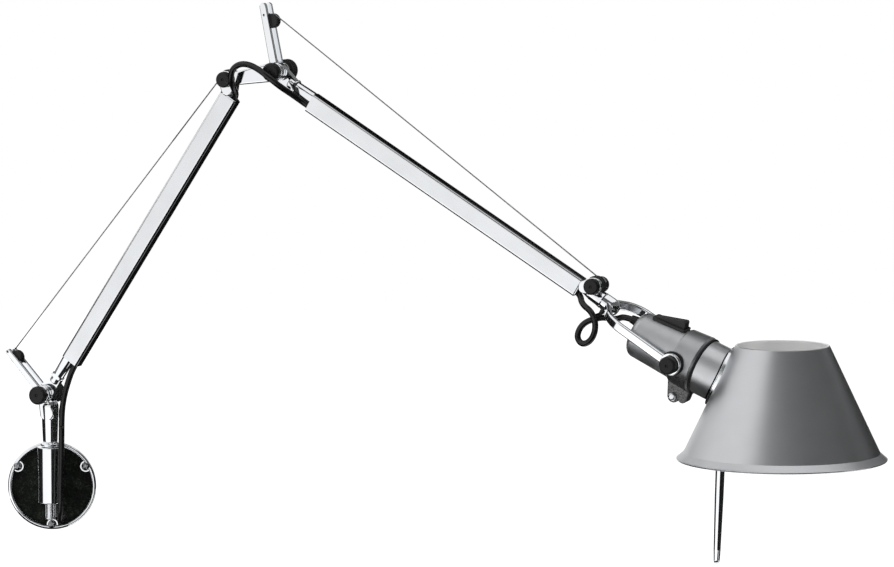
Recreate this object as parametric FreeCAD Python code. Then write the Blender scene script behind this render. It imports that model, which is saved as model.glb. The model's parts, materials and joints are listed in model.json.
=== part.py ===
import FreeCAD
import Part
import math
import os
from FreeCAD import Placement, Rotation, Vector

# Articulating wall lamp with two spring-balanced arms, a forked head and a conical shade.
# Millimetres, +Z up. The wall is the plane y = 0 and the lamp stands out of it towards -Y.
# The origin is the centre of the wall plate's back face.
# The arms lie in one upright plane through the swivel axis. "Arm plane" coordinates are
# s along that plane, z up, and f towards its front, which is the side away from the wall.

# ---- driving dimensions -------------------------------------------------------------
STANDOFF = 24.0            # swivel axis in front of the wall
ARM_SWING = 25.0           # arm plane turned out from the wall, degrees

PLATE_R = 40.0
PLATE_RIM_WIDTH = 3.6
PLATE_RIM_HEIGHT = 8.5
PLATE_FLOOR = 3.5
SCREW_CIRCLE_R = 35.5
SCREW_HOLE_R = 2.25
SCREW_ANGLES = (30.0, 150.0, 270.0)

HOUSING_R = 11.8
HOUSING_LOW = -13.0
HOUSING_HIGH = 38.0
SPIGOT_R = 5.5
STEM_R = 4.6               # inside the fork's shank
SHANK_R = 6.8              # the shank at the collar
SHANK_TOP_R = 8.0
STEM_TOP = 62.0

BASE_PIVOT = (-5.1, 86.0)  # s, z
LOWER_ANGLE = 56.4         # lower arm above the horizontal, degrees
UPPER_ANGLE = -30.5
LOWER_TUBE_LENGTH = 292.0
UPPER_TUBE_LENGTH = 298.0
BASE_LEVER_ANGLE = 132.5
ELBOW_LEVER_ANGLE = 101.5
ELBOW_REACH = (380.2, -31.9)   # elbow pivot in the lower arm's own frame

TUBE_START = 42.0          # from an arm's pivot to its tube
TUBE_DROP = 5.8            # tube axis below the pivot
TUBE_WIDTH = 17.5
TUBE_THICK = 12.5
TUBE_WALL = 1.3
SPRING_RISE = 2.7          # spring axis above the tube axis
CABLE_DROP = 4.7           # cable axis below the tube axis
PULLEY_PITCH_R = 7.0       # radius at the wire's centre
PULLEY_AHEAD = 12.6        # pulley axle beyond the tube's end
SPRING_SHARE = 0.55        # spring's length as a share of its tube's

TONGUE_HALF = 3.0          # half thickness of an arm's tongue between two cheeks
CHEEK_IN = 3.6
CHEEK_OUT = 7.2
BOSS_OUT = 9.4
PIN_R = 3.0
RUN_GAP = 0.06             # radial clearance of running fits
LEVER_LENGTH = 50.7        # pivot to the hole at the lever's tip
BASE_CAM = (43.0, 132.1, 2.4)  # wire cam: reach and angle from the pivot, flat back from its centre
ELBOW_CAM = (44.7, 96.6, 3.6)
CAM_R = 6.4
CAM_GROOVE_R = 5.3
WIRE_R = 0.6
CABLE_R = 2.7

YOKE_TWIST = 7.0           # yoke turned about the upper arm's axis, degrees
YOKE_REACH = 88.0          # swivel joint to the tilt axis
PRONG_OFFSET = 28.9
HEAD_TILT = 8.0            # lampholder turned up from the arm's line, degrees
SHADE_CENTRE = 97.2        # tilt axis to the shade's axis, along the lampholder
SHADE_TOP_R = 40.3
SHADE_CONE_R = 83.6        # where the cone meets the flared lip
SHADE_RIM_R = 89.7
SHADE_HEIGHT = 97.0
SHADE_LIP = 6.2
SHADE_WALL = 1.2
SHADE_RIM_Z = 69.1

# ---- frames -------------------------------------------------------------------------
X, Y, Z = Vector(1, 0, 0), Vector(0, 1, 0), Vector(0, 0, 1)
ORIGIN = Vector(0, 0, 0)


def at(x, y, z=0.0, turn=0.0):
    """A frame placed in its parent and turned about the parent's Z."""
    return Placement(Vector(x, y, z), Rotation(Z, turn))


def polar(x, y, length, angle):
    """The point a given length away from (x, y) at an angle in degrees."""
    a = math.radians(angle)
    return x + length * math.cos(a), y + length * math.sin(a)


WALL = Placement(Vector(0, -STANDOFF, 0), Rotation())
PLANE = Placement(Vector(0, -STANDOFF, 0), Rotation(Z, -ARM_SWING) * Rotation(X, 90))
LOWER = PLANE * at(*BASE_PIVOT, turn=LOWER_ANGLE)
UPPER = LOWER * at(*ELBOW_REACH, turn=UPPER_ANGLE - LOWER_ANGLE)
PULLEY_Y = SPRING_RISE - TUBE_DROP + PULLEY_PITCH_R
NECK_END = TUBE_START + UPPER_TUBE_LENGTH + PULLEY_AHEAD + 13.0
NECK_Y = PULLEY_Y - 7.5
YOKE = UPPER * at(NECK_END, NECK_Y) * Placement(ORIGIN, Rotation(X, YOKE_TWIST))
HEAD = YOKE * at(YOKE_REACH, 0.0, turn=HEAD_TILT)
SHADE_AXIS = HEAD.multVec(Vector(SHADE_CENTRE, 0, 0))
SHADE = Placement(Vector(SHADE_AXIS.x, SHADE_AXIS.y, SHADE_RIM_Z), Rotation(Z, -ARM_SWING))

nodes = {}


def keep(name, shape, frame=Placement()):
    """Names one sub-part and puts it in its place."""
    shape.Placement = frame * shape.Placement
    nodes[name] = shape


# ---- shape helpers ------------------------------------------------------------------
def outline(start, *steps):
    """A face in the XY plane. A step is a point, or a pair of points for an arc through the first."""
    here = first = Vector(*start, 0)
    edges = []
    for step in steps:
        if isinstance(step[0], tuple):
            mid, end = (Vector(*p, 0) for p in step)
            edges.append(Part.Arc(here, mid, end).toShape())
        else:
            end = Vector(*step, 0)
            edges.append(Part.LineSegment(here, end).toShape())
        here = end
    if (here - first).Length > 1e-6:
        edges.append(Part.LineSegment(here, first).toShape())
    return Part.Face(Part.Wire(edges))


def turned(start, *steps):
    """A body of revolution about X, from a half outline of (x, radius) points."""
    return outline(start, *steps).revolve(ORIGIN, X, 360)


def stood(shape):
    """Turns a shape made along X so that it lies along Z."""
    shape.rotate(ORIGIN, Y, -90)
    return shape


def disc(x, y, radius, low, high):
    return Part.makeCylinder(radius, high - low, Vector(x, y, low), Z)


def ring(x, y, inner, outer, low, high):
    return disc(x, y, outer, low, high).cut(disc(x, y, inner, low - 1, high + 1))


def rod_x(radius, low, high, y=0.0, z=0.0):
    return Part.makeCylinder(radius, high - low, Vector(low, y, z), X)


def strap(a, ra, b, rb, low, high):
    """A flat link: the hull of two round ends, from low to high along Z."""
    length = math.hypot(b[0] - a[0], b[1] - a[1])
    heading = math.degrees(math.atan2(b[1] - a[1], b[0] - a[0]))
    side = math.degrees(math.acos((ra - rb) / length))
    face = outline(
        polar(*a, ra, heading + side),
        (polar(*a, ra, heading + 180), polar(*a, ra, heading - side)),
        polar(*b, rb, heading - side),
        (polar(*b, rb, heading), polar(*b, rb, heading + side)))
    face.translate(Vector(0, 0, low))
    return face.extrude(Vector(0, 0, high - low))


def softened(shape, radius, *levels):
    """Rounds the edges that lie flat at the given heights."""
    edges = []
    for edge in shape.Edges:
        box = edge.BoundBox
        if box.ZLength < 1e-6 and any(abs(box.ZMin - level) < 1e-6 for level in levels):
            edges.append(edge)
    return shape.makeFillet(radius, edges)


def rounded_bar(width, thick, corner, low, high, y=0.0):
    """A bar along X of rounded rectangular section: width along Y, thick along Z."""
    bar = Part.makeBox(high - low, width, thick, Vector(low, y - width / 2, -thick / 2))
    long_edges = [e for e in bar.Edges if e.BoundBox.XLength > high - low - 1e-6]
    return bar.makeFillet(corner, long_edges)


def both_sides(shape):
    """The shape and its mirror image on the other side of the arm plane."""
    return Part.makeCompound([shape, shape.mirror(ORIGIN, Z)])


def fused(first, *others):
    return first.fuse(list(others)).removeSplitter()


def cord_path(points):
    """Straight runs joined by tangent arcs, each as large as its two runs allow."""
    route = [Vector(*p) for p in points]
    edges = []
    radii = []
    here = route[0]
    for before, corner, after in zip(route, route[1:], route[2:]):
        into = (corner - before).normalize()
        out = (after - corner).normalize()
        reach = 0.45 * min((corner - before).Length, (after - corner).Length)
        half_turn = into.getAngle(out) / 2
        radius = reach / math.tan(half_turn)
        start = corner - into * reach
        end = corner + out * reach
        inward = (out - into).normalize()
        mid = corner + inward * (radius / math.cos(half_turn) - radius)
        edges.append(Part.LineSegment(here, start).toShape())
        edges.append(Part.Arc(start, mid, end).toShape())
        radii.append(radius)
        here = end
    edges.append(Part.LineSegment(here, route[-1]).toShape())
    return Part.Wire(edges), radii


def cord(name, points, radius, frame):
    """A round tube along a route, with its arcs' radii and its volume against section times length."""
    path, radii = cord_path(points)
    start, nearby = Vector(*points[0]), Vector(*points[1])
    section = Part.Wire(Part.makeCircle(radius, start, nearby - start))
    tube = path.makePipeShell([section], True, False)
    share = tube.Volume / (math.pi * radius ** 2 * path.Length)
    print(name, "length %.1f, radii" % path.Length, ["%.1f" % r for r in radii], "volume %.4f" % share)
    keep(name, tube, frame)


# ---- wall bracket -------------------------------------------------------------------
def wall_plate():
    """Round plate with a raised rim, a recessed floor and three screw bosses."""
    inner = PLATE_R - PLATE_RIM_WIDTH
    crown = PLATE_R - PLATE_RIM_WIDTH / 2
    plate = turned(
        (0, 0), (0, PLATE_R), (PLATE_RIM_HEIGHT - 2.5, PLATE_R),
        ((PLATE_RIM_HEIGHT, crown), (PLATE_RIM_HEIGHT - 2.5, inner)),
        (PLATE_FLOOR, inner), (PLATE_FLOOR, 0))
    bosses = []
    holes = []
    for angle in SCREW_ANGLES:
        y, z = polar(0, 0, SCREW_CIRCLE_R, angle)
        bosses.append(rod_x(5.0, 0, PLATE_RIM_HEIGHT - 1.2, y, z))
        holes.append(rod_x(SCREW_HOLE_R, -1, PLATE_RIM_HEIGHT + 1, y, z))
    bosses = [boss.common(rod_x(PLATE_R, -1, 20)) for boss in bosses]
    saddle = Part.makeBox(STANDOFF - HOUSING_R + 3, 11, 40, Vector(0, -5.5, -9))
    saddle = saddle.makeFillet(2.0, [e for e in saddle.Edges if e.BoundBox.XLength > 10])
    saddle = saddle.cut(Part.makeCylinder(HOUSING_R, 90, Vector(STANDOFF, 0, -45), Z))
    plate = fused(plate, saddle, *bosses)
    plate = plate.cut(holes + [rod_x(4.2, -1, 10, 8.0, -27.5)])
    # local X is the wall's normal and points at the viewer
    keep("wall_plate", plate, Placement(ORIGIN, Rotation(Z, -90)))
    grommet = turned((0.2, 2.8), (0.2, 4.2), (PLATE_FLOOR, 4.2), (PLATE_FLOOR, 5.2), (4.7, 5.0), (5.2, 4.0),
                     (5.2, 2.8))
    keep("cable_grommet", grommet, Placement(Vector(8.0, 0, -27.5), Rotation(Z, -90)))


def swivel_housing():
    height = HOUSING_HIGH - HOUSING_LOW
    body = Part.makeCylinder(HOUSING_R, height, Vector(0, 0, HOUSING_LOW), Z)
    rims = [e for e in body.Edges if e.BoundBox.ZLength < 1e-6]
    body = body.makeFillet(0.8, rims)
    body = body.cut(Part.makeCylinder(7.5, height + 2, Vector(0, 0, HOUSING_LOW - 1), Z))
    keep("swivel_housing", body, WALL)
    bushes = [ring(0, 0, SPIGOT_R + RUN_GAP, 7.5, low, low + 14)
              for low in (HOUSING_LOW, HOUSING_HIGH - 14)]
    keep("housing_bushes", Part.makeCompound(bushes), WALL)


# ---- stem and base fork -------------------------------------------------------------
def stem():
    low = HOUSING_LOW - 0.3
    collar = HOUSING_HIGH + 0.3
    profile = turned(
        (low - 12, 0), (low - 12, 3.4), (low, 3.4), (low, SPIGOT_R), (collar, SPIGOT_R), (collar, 8.2),
        ((collar + 1.6, 9.0), (collar + 3.2, 8.2)), (collar + 4.2, SHANK_R), (collar + 4.2, STEM_R),
        (STEM_TOP, STEM_R), (STEM_TOP, 0))
    keep("stem", stood(profile), WALL)
    nut = turned((-2.0, 3.4), (-2.0, 5.0), (-1.4, 5.4), (-0.6, 5.4), (-0.2, 5.1), (13.0, 5.1), (13.0, 3.4))
    knurl = [rod_x(0.45, 0.4, 12, *polar(0, 0, 5.2, 30 * i)) for i in range(12)]
    keep("spigot_nut", stood(nut.cut(knurl)), WALL * at(0, 0, low - 13.0))


def lever_bars(angle, root_r, tip_r, beyond):
    """The two bars of a lever, at the origin's pivot, with the cross hole near the tip."""
    hole = polar(0, 0, LEVER_LENGTH, angle)
    tip = polar(0, 0, LEVER_LENGTH + beyond, angle)
    bar = strap((0, 0), root_r, tip, tip_r, CHEEK_IN, CHEEK_OUT)
    if beyond == 0:
        end = Part.makeBox(20, 20, 20, Vector(LEVER_LENGTH + 2.2, -10, -1))
        end.rotate(ORIGIN, Z, angle)
        bar = bar.cut(end)
    bar = softened(bar, 0.8, CHEEK_OUT)
    bar = bar.cut(disc(*hole, 1.2, 0, 20))
    return both_sides(bar)


def pivot_boss():
    """Round bosses outside the cheeks of a pivot at the origin."""
    boss = softened(disc(0, 0, 7.6, CHEEK_IN, BOSS_OUT), 0.7, BOSS_OUT)
    return both_sides(boss)


def pivot_hardware(name, frame, pins=(), caps=()):
    """Pins, washers, front caps and rear friction disc of one arm pivot, with any others of their kind."""
    pins = [disc(0, 0, PIN_R, -BOSS_OUT - 6, BOSS_OUT + 3), *pins]
    keep(name + "_pins", Part.makeCompound(pins), frame)
    keep(name + "_washers", both_sides(ring(0, 0, PIN_R + 0.1, 7.4, TONGUE_HALF + 0.06, CHEEK_IN)), frame)
    cap = turned((BOSS_OUT, PIN_R), (BOSS_OUT, 7.0), (BOSS_OUT + 1.6, 8.3), (BOSS_OUT + 4.6, 8.3),
                 ((BOSS_OUT + 6.6, 7.5), (BOSS_OUT + 7.2, 5.4)), (BOSS_OUT + 7.2, 1.6),
                 (BOSS_OUT + 6.4, 0.8), (BOSS_OUT + 6.4, 0), (BOSS_OUT + 3, 0), (BOSS_OUT + 3, PIN_R))
    keep(name + "_caps", Part.makeCompound([stood(cap), *caps]), frame)
    # the friction disc is a stack of ribs, so that fingers can turn it
    edge = [(BOSS_OUT, PIN_R), (BOSS_OUT, 7.6)]
    for i in range(4):
        x = BOSS_OUT + 1.0 + 2.6 * i
        edge += [(x, 9.0), (x + 0.35, 9.8), (x + 1.15, 9.8), (x + 1.5, 9.0), (x + 2.05, 8.3)]
    top = edge[-1][0]
    edge += [(top, 2.0), (top - 1.2, 0), (BOSS_OUT + 6, 0), (BOSS_OUT + 6, PIN_R)]
    keep(name + "_friction_disc", stood(turned(*edge)).mirror(ORIGIN, Z), frame)


def wire_cam(name, lever_angle, place, frame):
    """Grooved half disc between a lever's bars, which the wire wraps round."""
    edge = [(-CHEEK_IN, 0), (-CHEEK_IN, CAM_R - 0.6), (-CHEEK_IN + 0.6, CAM_R), (-1.7, CAM_R),
            (-0.8, CAM_GROOVE_R), (0.8, CAM_GROOVE_R), (1.7, CAM_R), (CHEEK_IN - 0.6, CAM_R),
            (CHEEK_IN, CAM_R - 0.6), (CHEEK_IN, 0)]
    cam = stood(turned(*edge))
    reach, cam_angle, flat = place
    behind = Part.makeBox(30, 30, 30, Vector(-15, flat, -15))
    behind.rotate(ORIGIN, Z, lever_angle)
    keep(name + "_wire_cam", cam.cut(behind), frame * at(*polar(0, 0, reach, cam_angle)))


def base_fork():
    """Casting on the stem: tapered shank, two cheeks at the base pivot and the lever's two bars."""
    s, z = BASE_PIVOT
    low = HOUSING_HIGH + 4.5
    round_head = softened(disc(0, 0, 8.6, -CHEEK_OUT, CHEEK_OUT), 1.4, -CHEEK_OUT, CHEEK_OUT)
    web = softened(strap((0, 0), 4.0, (-s, 69 - z), 7.0, -CHEEK_OUT, CHEEK_OUT), 1.4, -CHEEK_OUT, CHEEK_OUT)
    shank = turned((low, 0), (low, SHANK_R - 0.5), (low + 0.8, SHANK_R), (74, SHANK_TOP_R), ((78, 7.4), (81, 5.4)),
                   (81, 0))
    shank.rotate(ORIGIN, Z, 90)
    shank.translate(Vector(-s, -z, 0))
    body = fused(round_head, web, shank)
    gap = strap((0, 0), 9.3, (26, 16), 16, -CHEEK_IN, CHEEK_IN)
    bore = Part.makeCylinder(STEM_R, 40, Vector(-s, STEM_TOP - z - 40, 0), Y)
    body = body.cut([gap, bore])
    body = fused(body, *pivot_boss().Solids, *lever_bars(BASE_LEVER_ANGLE, 3.0, 2.4, 0).Solids)
    body = body.cut(disc(0, 0, PIN_R, -20, 20))
    frame = PLANE * at(*BASE_PIVOT)
    keep("base_fork", body, frame)
    pivot_hardware("base", frame)


# ---- arms ---------------------------------------------------------------------------
def arm_tube(name, length, frame):
    """Extruded tube of flat section with round corners, open at both ends."""
    low, high = TUBE_START, TUBE_START + length
    outer = rounded_bar(TUBE_WIDTH, TUBE_THICK, 2.6, low, high, -TUBE_DROP)
    inner = rounded_bar(TUBE_WIDTH - 2 * TUBE_WALL, TUBE_THICK - 2 * TUBE_WALL, 1.4, low - 1, high + 1,
                        -TUBE_DROP)
    keep(name + "_arm_tube", outer.cut(inner), frame)


def tube_plug(low, high):
    """The part of a fitting inside a tube, with a channel for the cable and a hole for the wire."""
    plug = rounded_bar(TUBE_WIDTH - 2 * TUBE_WALL - 0.1, TUBE_THICK - 2 * TUBE_WALL - 0.1, 1.3, low, high,
                       -TUBE_DROP)
    cable = rod_x(CABLE_R + 0.1, low - 1, high + 1, -TUBE_DROP - CABLE_DROP)
    under = Part.makeBox(high - low + 2, 6, 2 * CABLE_R + 0.2,
                         Vector(low - 1, -TUBE_DROP - CABLE_DROP - 6, -CABLE_R - 0.1))
    return plug.cut([cable, under])


def arm_foot(name, frame):
    """Casting from an arm's pivot into its tube: tongue, collared neck and plug."""
    y = -2.2
    tongue = strap((0, 0), 8.0, (20, y), 5.0, -TONGUE_HALF, TONGUE_HALF)
    neck = turned((14.5, 0), (14.5, 4.2), ((15.4, 5.0), (17, 5.2)), (20, 5.2), ((21.6, 6.6), (23.2, 5.2)),
                  (TUBE_START - 3, 5.6), (TUBE_START, 5.6), (TUBE_START, 0))
    neck.translate(Vector(0, y, 0))
    neck = neck.common(Part.makeBox(60, 40, TUBE_THICK - 2 * TUBE_WALL, Vector(0, -20, TUBE_WALL - TUBE_THICK / 2)))
    foot = fused(tongue, neck, tube_plug(TUBE_START, TUBE_START + 16))
    foot = foot.cut([disc(0, 0, PIN_R + RUN_GAP, -9, 9),
                     rod_x(CABLE_R + 0.1, 12, TUBE_START + 18, -TUBE_DROP - CABLE_DROP)])
    if name == "upper":
        foot = foot.cut(elbow_relief(frame))
    keep(name + "_arm_foot", foot, frame)


def pulley_set(name, place):
    """Keeps a grooved wheel in its place and makes its axle and the two round caps on the axle's ends."""
    rim = PULLEY_PITCH_R + 1.6
    floor = PULLEY_PITCH_R - WIRE_R - 0.05
    wheel = turned((-2.3, 2.5 + RUN_GAP), (-2.3, rim - 0.4), (-1.9, rim), (-1.5, rim), (-0.7, floor),
                   (0.7, floor), (1.5, rim), (1.9, rim), (2.3, rim - 0.4), (2.3, 2.5 + RUN_GAP))
    holes = [rod_x(1.2, -5, 5, *polar(0, 0, 4.5, 60 * i)) for i in range(6)]
    keep(name + "_pulley", stood(wheel.cut(holes)), place)
    axle = disc(0, 0, 2.5, -9.5, 9.5)
    cap = turned((CHEEK_OUT, 2.5), (CHEEK_OUT, 6.3), (8.0, 7.0), (11.2, 7.0), ((12.7, 6.5), (13.2, 5.0)),
                 (13.2, 1.4), (12.5, 0.7), (12.5, 0), (9.5, 0), (9.5, 2.5))
    return axle, both_sides(stood(cap))


def pulley_cheeks(x_tube, x):
    """Solid head round a pulley: from the tube's end to the axle, with the pulley's slot and bore."""
    head = softened(strap((x_tube + 5.7, -1.6), 5.6, (x, PULLEY_Y), 7.6, -CHEEK_OUT, CHEEK_OUT), 1.2,
                    -CHEEK_OUT, CHEEK_OUT)
    return fused(head, tube_plug(x_tube - 16, x_tube + 1))


def pulley_cuts(x_tube, x):
    """The pulley's slot, the wire's way into the tube, and the axle's bore."""
    slot = strap((x, PULLEY_Y), 9.2, (x - 2, PULLEY_Y + 12), 9.2, -2.6, 2.6)
    wire = rod_x(1.6, x_tube - 20, x, -TUBE_DROP + SPRING_RISE)
    return [slot, wire, disc(x, PULLEY_Y, 2.5, -20, 20)]


def elbow_fork():
    """Casting at the top of the lower arm: pulley head, link, elbow cheeks and lever bars."""
    x_tube = TUBE_START + LOWER_TUBE_LENGTH
    x = x_tube + PULLEY_AHEAD
    head = pulley_cheeks(x_tube, x)
    link = softened(strap((x + 1, PULLEY_Y - 2), 5.4, ELBOW_REACH, 8.6, -CHEEK_OUT, CHEEK_OUT), 1.6,
                    -CHEEK_OUT, CHEEK_OUT)
    body = fused(head, link)
    elbow = at(*ELBOW_REACH)
    gap_end = polar(*ELBOW_REACH, 30, UPPER_ANGLE - LOWER_ANGLE + 5)
    gap = strap(ELBOW_REACH, 9.3, gap_end, 16, -CHEEK_IN, CHEEK_IN)
    body = body.cut(pulley_cuts(x_tube, x) + [gap])
    extra = pivot_boss().Solids + lever_bars(ELBOW_LEVER_ANGLE - LOWER_ANGLE, 3.5, 3.1, 7.6).Solids
    for solid in extra:
        solid.Placement = elbow * solid.Placement
    body = fused(body, *extra)
    body = body.cut([disc(*ELBOW_REACH, PIN_R, -20, 20), elbow_relief(LOWER)])
    keep("elbow_fork", body, LOWER)
    axle, caps = pulley_set("lower", LOWER * at(x, PULLEY_Y))
    beside = elbow.inverse() * at(x, PULLEY_Y)
    axle.Placement = beside * axle.Placement
    caps.Placement = beside * caps.Placement
    pivot_hardware("elbow", LOWER * elbow, [axle], caps.Solids)


def arm_end_fitting():
    """Casting at the end of the upper arm: pulley head and the neck of the head's swivel."""
    x_tube = TUBE_START + UPPER_TUBE_LENGTH
    x = x_tube + PULLEY_AHEAD
    head = pulley_cheeks(x_tube, x)
    neck = turned((x_tube + 6, 0), (x_tube + 6, 5.0), (x, 6.4), (x + 8, 6.8), (NECK_END - 0.8, 7.4),
                  (NECK_END, 6.8), (NECK_END, 0))
    neck.translate(Vector(0, NECK_Y, 0))
    body = fused(head, neck).cut(pulley_cuts(x_tube, x) + [rod_x(PIN_R, NECK_END - 4, NECK_END + 1, NECK_Y)])
    keep("arm_end_fitting", body, UPPER)
    place = UPPER * at(x, PULLEY_Y)
    axle, caps = pulley_set("upper", place)
    keep("arm_end_pin", axle, place)
    keep("arm_end_caps", caps, place)


def spring(name, tube_length, frame):
    """Tension spring inside a tube, as the plain sleeve that its turns fill."""
    y = -TUBE_DROP + SPRING_RISE
    low = TUBE_START + 22
    body = rod_x(4.0, low, low + 0.55 * tube_length, y).cut(rod_x(2.8, low - 1, low + tube_length, y))
    hook = rod_x(0.9, TUBE_START + 16, low, y)
    ends = [rod_x(3.4, low - 1.2, low, y),
            rod_x(3.4, low + SPRING_SHARE * tube_length, low + SPRING_SHARE * tube_length + 1.2, y)]
    keep(name, fused(body, hook, *ends), frame)


def wire(name, cam, flat, lever_angle, tube_length, arm):
    """Steel wire: end ball behind the cam, round its groove, straight to the pulley, into the tube."""
    arm_in_plane = PLANE.inverse() * arm
    x = TUBE_START + tube_length + PULLEY_AHEAD
    pulley = arm_in_plane.multVec(Vector(x, PULLEY_Y, 0))
    pulley = (pulley.x, pulley.y)
    cam_pitch = CAM_GROOVE_R + WIRE_R + 0.05
    reach = math.hypot(pulley[0] - cam[0], pulley[1] - cam[1])
    line = math.degrees(math.atan2(pulley[1] - cam[1], pulley[0] - cam[0]))
    side = line + 90 + math.degrees(math.asin((PULLEY_PITCH_R - cam_pitch) / reach))
    anchor = lever_angle + 180 - 25 - math.degrees(math.asin(flat / cam_pitch))
    under = math.degrees(math.atan2(*reversed(arm_in_plane.Rotation.multVec(Y)[:2]))) - 180
    spring_end = TUBE_START + 23.2 + SPRING_SHARE * tube_length
    stops = [polar(*cam, cam_pitch, anchor), polar(*cam, cam_pitch, (anchor + side) / 2),
             polar(*cam, cam_pitch, side), polar(*pulley, PULLEY_PITCH_R, side),
             polar(*pulley, PULLEY_PITCH_R, (side + under) / 2), polar(*pulley, PULLEY_PITCH_R, under)]
    stops = [Vector(*stop, 0) for stop in stops]
    stops.append(arm_in_plane.multVec(Vector(spring_end, PULLEY_Y - PULLEY_PITCH_R, 0)))
    path = Part.Wire([Part.Arc(stops[0], stops[1], stops[2]).toShape(),
                      Part.LineSegment(stops[2], stops[3]).toShape(),
                      Part.Arc(stops[3], stops[4], stops[5]).toShape(),
                      Part.LineSegment(stops[5], stops[6]).toShape()])
    tangent = Vector(*polar(0, 0, 1, anchor - 90), 0)
    section = Part.Wire(Part.makeCircle(WIRE_R, stops[0], tangent))
    strand = path.makePipeShell([section], True, False)
    ball = Part.makeSphere(1.2, stops[0] - tangent * 1.0)
    keep(name, fused(strand, ball), PLANE)


# ---- yoke ---------------------------------------------------------------------------
def yoke():
    """Forked casting: a hub on the swivel and two curved prongs with eyes on the tilt axis."""
    hub = turned((0.15, 0), (0.15, 6.8), (0.9, 7.4), (8, 7.4), ((12, 6.6), (15, 4.6)), (15, 0))
    path, _ = cord_path([(5, 0, 3), (20, 0, 26), (YOKE_REACH - 4, 0, PRONG_OFFSET)])
    section = rounded_bar(8.2, 4.6, 1.6, 0, 1)
    end_face = min(section.Faces, key=lambda face: face.CenterOfMass.x)
    profile = end_face.OuterWire
    profile.rotate(ORIGIN, Y, -math.degrees(math.atan2(23, 15)))
    profile.translate(Vector(5, 0, 3))
    prong = path.makePipeShell([profile], True, False)
    eye = disc(YOKE_REACH, 0, 9.6, PRONG_OFFSET - 2.3, PRONG_OFFSET + 2.3)
    eye = softened(eye, 0.8, PRONG_OFFSET - 2.3, PRONG_OFFSET + 2.3)
    root = softened(disc(9, 0, 5.2, -5.5, 5.5), 1.2, -5.5, 5.5)
    body = fused(hub, root, *both_sides(prong).Solids, *both_sides(eye).Solids)
    head_room = turned((11, 0), (11, 4.9), (30, 4.9), (30, 0))
    body = body.cut([rod_x(PIN_R + RUN_GAP, -1, 12), head_room, disc(YOKE_REACH, 0, PIN_R + RUN_GAP, -50, 50),
                     disc(YOKE_REACH, 0, 10.9, 2.3 - PRONG_OFFSET, PRONG_OFFSET - 2.3)])
    keep("yoke", body, YOKE)
    bolt = turned((-4, 0), (-4, PIN_R), (11.06, PIN_R), (11.06, 4.6), (12.6, 4.6), ((13.4, 4.2), (13.8, 3.2)),
                  (13.8, 0))
    bolt = bolt.cut(Part.makeBox(2, 12, 1.0, Vector(12.9, -6, -0.5)))
    keep("yoke_bolt", bolt, YOKE)


def cable_clip():
    """Small bar under the hub that holds the cable on both sides of its loop."""
    bar = softened(strap((0.4, -13.4), 1.3, (4.6, -8.4), 1.3, 7.0, 8.8), 0.4, 7.0, 8.8)
    stalk = strap((4.6, -8.4), 1.3, (4.6, -5.0), 1.3, 1.0, 8.8).cut(rod_x(7.4, -4, 12))
    keep("cable_clip", fused(bar, stalk), YOKE)


# ---- head ---------------------------------------------------------------------------
def housing_outline(grow=0.0):
    """Outside of the lampholder's housing, from its domed back to the clamp's seat."""
    return ((-50, 0), (-50, 13.5 + grow), ((-48.4, 18.2 + grow), (-44, 20.4 + grow)), (-4.2, 22.6 + grow))


def socket_housing():
    shell = turned(*housing_outline(), (-4.2, 22.0), (16, 22.0), (16, 20.6), (26, 20.6), (26, 19.0),
                   (-44, 19.0), ((-46.6, 17.2), (-47.6, 13)), (-47.6, 0))
    gland_hole = rod_x(3.4, -52, -40, 9.0)
    opening = Part.makeBox(29.4, 12, 10.0, Vector(-36.7, 15, -5.0))
    keep("socket_housing", shell.cut([gland_hole, opening]), HEAD)
    gland = turned((-58, CABLE_R + 0.05), (-58, 3.6), (-50, 4.8), (-50, 3.4), (-46, 3.4), (-46, CABLE_R + 0.05))
    gland.translate(Vector(0, 9.0, 0))
    keep("cable_gland", gland, HEAD)


def clamp_ring():
    """Split ring round the housing, with two pivot bosses and a pair of ears below."""
    band = turned((-4, 22.0), (-4, 24.0), (-3, 24.6), (15.6, 26.0), (17.4, 25.2), (17.4, 22.0))
    boss = softened(disc(0, 0, 8.6, 20, 24.9), 0.6, 24.9)
    bosses = both_sides(boss).cut(turned(*housing_outline(0.05), (-4.2, 22.0), (30, 22.0), (30, 0)))
    ear = fused(strap((3, -35.5), 5.6, (4, -21), 11.0, 0.8, 5.4), strap((11.5, -34), 4.0, (8, -22), 8.0, 0.8, 5.4))
    ear = softened(ear, 0.8, 5.4)
    ears = both_sides(ear).cut(turned(*housing_outline(), (-4.2, 22.0), (30, 22.0), (30, 0)))
    band = fused(band, *bosses.Solids, *ears.Solids)
    slit = Part.makeBox(40, 30, 1.6, Vector(-14, -50, -0.8))
    cuts = [slit, disc(3, -35.5, 2.0, -20, 20), disc(0, 0, PIN_R, -40, 40).cut(disc(0, 0, 9, -22, 22)),
            both_sides(disc(0, 0, 10.9, 24.9, 40))]
    keep("clamp_ring", band.cut(cuts), HEAD)
    screw = turned((-8.8, 0), (-8.8, 1.9), (-8.2, 1.9), (-8.2, 3.6), (-5.4, 3.6), (-5.4, 2.0), (5.4, 2.0),
                   (5.4, 3.6), ((8.1, 3.0), (8.6, 1.6)), (8.6, 0))
    keep("clamp_screw", stood(screw), HEAD * at(3, -35.5))


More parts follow.
